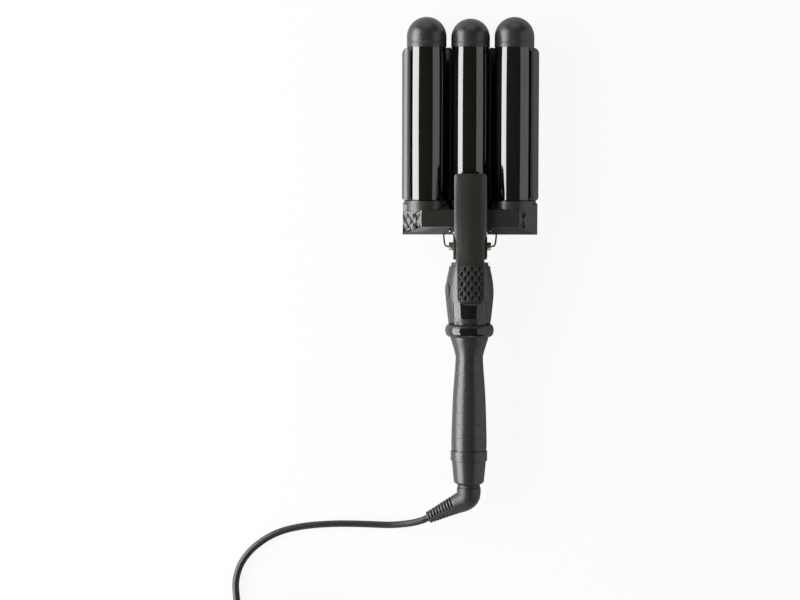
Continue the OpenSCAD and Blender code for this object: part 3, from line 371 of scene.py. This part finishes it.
def fixPlace(piece, matrix):
    piece.data.transform(matrix)
    piece.matrix_world = Matrix.Identity(4)


bodyOf = {}
for bodyName, members in frame["record"]["behaviour"]["bodies"].items():
    for member in members:
        bodyOf[member] = bodyName


# ---- moulded and turned parts: merged copies of the solids with their edges broken ----
brokenEdges = {
    "left_collar": 0.5, "right_collar": 0.5, "centre_collar": 0.4,
    "rear_jaw_base": 0.5, "rear_spine": 0.3, "crossbar_back_covers": 0.3,
    "left_wing": 0.25, "right_wing": 0.25, "neck_frame": 0.3, "neck_ring": 0.4,
    "hinge_pin": 0.35, "rear_shell": 0.12, "display_window": 0.3, "side_control": 0.5,
    "trim_ring": 0.2, "ring_inlay": 0.25, "end_band": 0.4, "end_cap": 0.5, "swivel_spigot": 0.3,
    "strain_relief_elbow": 0.2, "coil_tie": 0.15, "plug_body": 0.8, "plug_pins": 0.6,
    "left_barrel": 0.2, "right_barrel": 0.2, "centre_barrel": 0.2,
    "wing_screws": 0.2, "casing_screws": 0.2, "crossbar_screws": 0.15,
}
for nodeName, edgeWidth in brokenEdges.items():
    softened = cleanCopy(nodeName, nodeName + "_finished")
    soften(softened, edgeWidth)
    settle(softened, bodyOf[nodeName], slotOf[nodeName], nodeName)
print("softened", len(brokenEdges))


# ---- domed tips, with a fine groove round the foot ----
tipShape = {"left": (-36.1, 16.35), "right": (36.1, 16.35), "centre": (0, 15.95), "axisZ": 20.2, "seat": 6,
            "lifts": (3.1, 4.3), "wide": 0.5, "deep": 0.22, "skin": 0.6, "reachX": 20, "edge": 0.15}


def cutAcross(piece, place, way):
    startEdit(piece)
    bpy.ops.mesh.select_all(action="SELECT")
    bpy.ops.mesh.bisect(plane_co=Vector(place) * mm, plane_no=way, threshold=0.000001)
    endEdit()


def sinkGroove(piece, groove, centre, y, radius):
    centreX, centreZ = centre
    for edge in (-groove["wide"] / 2, 0, groove["wide"] / 2):
        cutAcross(piece, (0, y + edge, 0), (0, 1, 0))
    startEdit(piece, "VERT")
    chooseVerts(piece, lambda spot: abs(spot.y - y) < 0.02 and abs(spot.x - centreX) < groove["reachX"]
                and math.hypot(spot.x - centreX, spot.z - centreZ) > radius - groove["skin"])
    shrink = (radius - groove["deep"]) / radius
    bpy.ops.transform.resize(value=(shrink, 1, shrink), center_override=(centreX * mm, y * mm, centreZ * mm))
    endEdit()


for side in ("left", "right", "centre"):
    tipX, tipR = tipShape[side]
    tip = cleanCopy(side + "_tip", side + "_domed_tip")
    footY = min(v.co.y for v in tip.data.vertices) / mm + tipShape["seat"]
    for lift in tipShape["lifts"]:
        sinkGroove(tip, tipShape, (tipX, tipShape["axisZ"]), footY + lift, tipR)
    soften(tip, tipShape["edge"])
    settle(tip, bodyOf[side + "_tip"], slotOf[side + "_tip"], side + "_tip")
print("tips")


# ---- front shell, with hairline grooves over the grip ----
gripGrooves = {"places": (-115.3, -125.7, -136.3, -147.3, -158.1, -168.7, -179.3), "half": 10.0, "fade": 0.8,
               "wide": 1.1, "deep": 0.55, "skin": 0.5, "reachX": 10.1, "axisZ": 20.2, "probeZ": 80}


def makeFrontShell(shape):
    shell = cleanCopy("front_shell", "front_shell_grooved")
    for x in (shape["half"], shape["half"] + shape["fade"]):
        for side in (-1, 1):
            cutAcross(shell, (side * x, 0, 0), (1, 0, 0))
    for y in shape["places"]:
        hit = shell.ray_cast(Vector((0, y, shape["probeZ"])) * mm, Vector((0, 0, -1)))
        sinkGroove(shell, shape, (0, shape["axisZ"]), y, hit[1].z / mm - shape["axisZ"])
    settle(shell, bodyOf["front_shell"], slotOf["front_shell"], "front_shell")


makeFrontShell(gripGrooves)
print("front shell")


# ---- lever ----
leverEdges = {"width": 0.6, "steps": 3, "angle": 40}
lever = cleanCopy("lever", "lever_finished")
soften(lever, **leverEdges)
settle(lever, bodyOf["lever"], slotOf["lever"], "lever")
print("lever")


# ---- thumb pad: a raised lattice of diamonds over a rounded plate ----
padShape = {"wide": 19.4, "long": 30.8, "corner": 3.8, "thick": 2.5, "ridge": 0.62, "sink": 1.4,
            "diamond": (5.42, 8.3), "crown": 30.6, "rise": 0.6, "edge": 0.14, "cornerSteps": 5,
            "hinge": (-20.2, 45.9), "slope": 16.79, "start": 15.27}


def makePad(shape):
    bpy.ops.object.select_all(action="DESELECT")
    bpy.ops.mesh.primitive_plane_add(size=1, location=(0, 0, 0))
    pad = bpy.context.object
    pad.name = "thumb_pad_lattice"
    wide, long = shape["wide"] * mm, shape["long"] * mm
    fixPlace(pad, Matrix.Diagonal((wide, long, 1, 1)))
    startEdit(pad, "VERT")
    bpy.ops.mesh.select_all(action="SELECT")
    bpy.ops.mesh.bevel(offset=shape["corner"] * mm, segments=shape["cornerSteps"], affect="VERTICES")
    dx, dy = shape["diamond"]
    slant = Vector((dy, dx, 0)).normalized()
    for way in (1, -1):
        normal = Vector((slant.x, way * slant.y, 0))
        step = dx * normal.x
        reach = math.ceil((shape["wide"] + shape["long"]) / step)
        for k in range(-reach, reach + 1):
            spot = normal * (k * step) + Vector((dx / 4, 0, 0))
            bpy.ops.mesh.select_all(action="SELECT")
            bpy.ops.mesh.bisect(plane_co=spot * mm, plane_no=normal, threshold=0.00001)
    bpy.ops.mesh.select_mode(type="FACE")
    bpy.ops.mesh.select_all(action="SELECT")
    bpy.ops.mesh.inset(thickness=shape["ridge"] * mm, use_individual=True, use_boundary=True)
    bpy.ops.mesh.extrude_faces_move(TRANSFORM_OT_shrink_fatten={"value": 0})
    bpy.ops.transform.translate(value=(0, 0, -shape["sink"] * mm))
    bpy.ops.mesh.select_all(action="SELECT")
    bpy.ops.mesh.region_to_loop()
    bpy.ops.mesh.extrude_edges_move(TRANSFORM_OT_translate={"value": (0, 0, -shape["thick"] * mm)})
    bpy.ops.mesh.edge_face_add()
    bpy.ops.mesh.select_all(action="SELECT")
    bpy.ops.mesh.normals_make_consistent(inside=False)
    endEdit()
    soften(pad, shape["edge"], 2, 40)
    # the upper part is crowned across, the underside stays flat
    for spot in pad.data.vertices:
        if spot.co.z > -0.6 * shape["thick"] * mm:
            spot.co.z -= spot.co.x ** 2 / (2 * shape["crown"] * mm)
    y0, z0 = shape["hinge"]
    slope = Matrix.Rotation(math.radians(-shape["slope"]), 4, "X")
    centre = Vector((0, -(shape["start"] + shape["long"] / 2), shape["rise"])) * mm
    fixPlace(pad, Matrix.Translation(Vector((0, y0, z0)) * mm) @ slope @ Matrix.Translation(centre))
    settle(pad, bodyOf["thumb_pad"], slotOf["thumb_pad"], "thumb_pad", angle=28)


makePad(padShape)
print("thumb pad")


# ---- crossbar housing, with diamond facets over its sloping ends ----
barFacets = {"diamond": (4.7, 8.8), "firstX": 43.5, "centreY": 2.15, "edgeX": 40.0, "reachX": 54.6,
             "rows": range(-5, 6), "leastPart": 0.4, "flat": 12,
             "faint": (0.35, 0.14, 0), "deep": (0.55, 0.9, 0.5)}


def makeCrossbar(shape):
    bar = cleanCopy("crossbar_housing", "crossbar_faceted")
    dx, dy = shape["diamond"]
    slant = Vector((dy, dx, 0)).normalized()
    for side in (-1, 1):
        def onSlope(c, n):
            return (side * n.x > 0.4 and n.z > 0.3 and abs(n.y) < 0.1
                    and shape["edgeX"] < side * c.x < shape["reachX"])

        for way in (1, -1):
            for k in shape["rows"]:
                startEdit(bar)
                chooseFaces(bar, onSlope)
                spot = Vector((side * (shape["firstX"] + (k + 0.5) * dx), shape["centreY"] - dy / 2, 0))
                bpy.ops.mesh.bisect(plane_co=spot * mm, plane_no=(slant.x, way * slant.y, 0), threshold=0.00001)
                endEdit()
        # the column beside the flat is sunk deeply, the others only faintly
        for depth, first in (("faint", False), ("deep", True)):
            startEdit(bar)
            chooseFaces(bar, lambda c, n: onSlope(c, n) and (abs(side * c.x - shape["firstX"]) < 1) == first)
            grid = bmesh.from_edit_mesh(bar.data)
            for face in grid.faces:
                if face.calc_area() < shape["leastPart"] * dx * dy * mm * mm:
                    face.select_set(False)
            bmesh.update_edit_mesh(bar.data)
            inset, sink, point = shape[depth]
            bpy.ops.mesh.inset(thickness=inset * mm, depth=-sink * mm, use_individual=True)
            bpy.ops.mesh.poke(offset=-point * mm)
            endEdit()
    settle(bar, bodyOf["crossbar_housing"], slotOf["crossbar_housing"], "crossbar_housing", angle=shape["flat"])


makeCrossbar(barFacets)
print("crossbar")


# ---- wires and spring ----
for nodeName in ("closing_spring", "left_heater_lead", "right_heater_lead", "inner_wires"):
    wire = cleanCopy(nodeName, nodeName + "_round")
    settle(wire, bodyOf[nodeName], slotOf[nodeName], nodeName, angle=50)


# ---- floor, world and lamps ----
floorShape = {"radius": 4, "sides": 96, "level": -0.0004, "grey": 0.86, "glowPart": 0.92}


def addFloor(shape):
    bpy.ops.object.select_all(action="DESELECT")
    bpy.ops.mesh.primitive_circle_add(vertices=shape["sides"], radius=shape["radius"], fill_type="NGON",
                                      location=(0, 0, shape["level"]))
    floor = bpy.context.object
    floor.name = "paleFloor"
    finish = Finish("floorWhite", {"Roughness": 0.85, "Specular IOR Level": 0.2})
    material = finish.surface(Base_Color=(shape["grey"],) * 3)
    rays = finish.tree.nodes.new("ShaderNodeLightPath")
    seen = Tone(rays.outputs["Is Camera Ray"]) * shape["glowPart"]
    glow = finish.add("Emission", feeds={"Color": (1.0, 1.0, 1.0), "Strength": 1.0})
    mixed = finish.tree.nodes.new("ShaderNodeMixShader")
    finish.feed(mixed.inputs[0], seen)
    finish.tree.links.new(finish.shader.outputs[0], mixed.inputs[1])
    finish.tree.links.new(glow.socket, mixed.inputs[2])
    finish.tree.links.new(mixed.outputs[0], finish.tree.nodes["Material Output"].inputs[0])
    floor.data.materials.append(material)


def addWorld():
    world = bpy.data.worlds.new("studioWorld")
    bpy.context.scene.world = world
    world.use_nodes = True
    tree = world.node_tree
    rays = tree.nodes.new("ShaderNodeLightPath")
    mixed = tree.nodes.new("ShaderNodeMixShader")
    dim = tree.nodes["Background"]
    dim.inputs[0].default_value = (0.062, 0.056, 0.048, 1)
    white = tree.nodes.new("ShaderNodeBackground")
    white.inputs[0].default_value = (1, 1, 1, 1)
    tree.links.new(rays.outputs["Is Camera Ray"], mixed.inputs[0])
    tree.links.new(dim.outputs[0], mixed.inputs[1])
    tree.links.new(white.outputs[0], mixed.inputs[2])
    tree.links.new(mixed.outputs[0], tree.nodes["World Output"].inputs[0])


def addPanel(name, spot, aim, size, radiance):
    data = bpy.data.lights.new(name, "AREA")
    data.shape = "RECTANGLE"
    data.size, data.size_y = size
    data.energy = radiance * size[0] * size[1] * math.pi
    lamp = bpy.data.objects.new(name, data)
    bpy.context.scene.collection.objects.link(lamp)
    lamp.location = spot
    lamp.rotation_euler = (Vector(aim) - Vector(spot)).to_track_quat("-Z", "Y").to_euler()


panels = {
    "leftSoftbox": {"spot": (-1.25, 0.0, 0.48), "aim": (0, 0, 0.02), "size": (2.2, 1.0), "radiance": 7.5},
    "rightSoftbox": {"spot": (1.36, 0.0, 0.63), "aim": (0, 0, 0.02), "size": (2.2, 1.7), "radiance": 0.8},
    "upperSoftbox": {"spot": (0.0, 2.2, 0.7), "aim": (0, 0, 0), "size": (1.6, 1.0), "radiance": 1.2},
    "lowerSoftbox": {"spot": (0.0, -2.2, 0.8), "aim": (0, -0.1, 0), "size": (1.6, 1.0), "radiance": 1.4},
}
addFloor(floorShape)
addWorld()
for panelName, panel in panels.items():
    addPanel(panelName, panel["spot"], panel["aim"], panel["size"], panel["radiance"])
bpy.context.scene.view_settings.view_transform = "Standard"
print("stage and lamps")
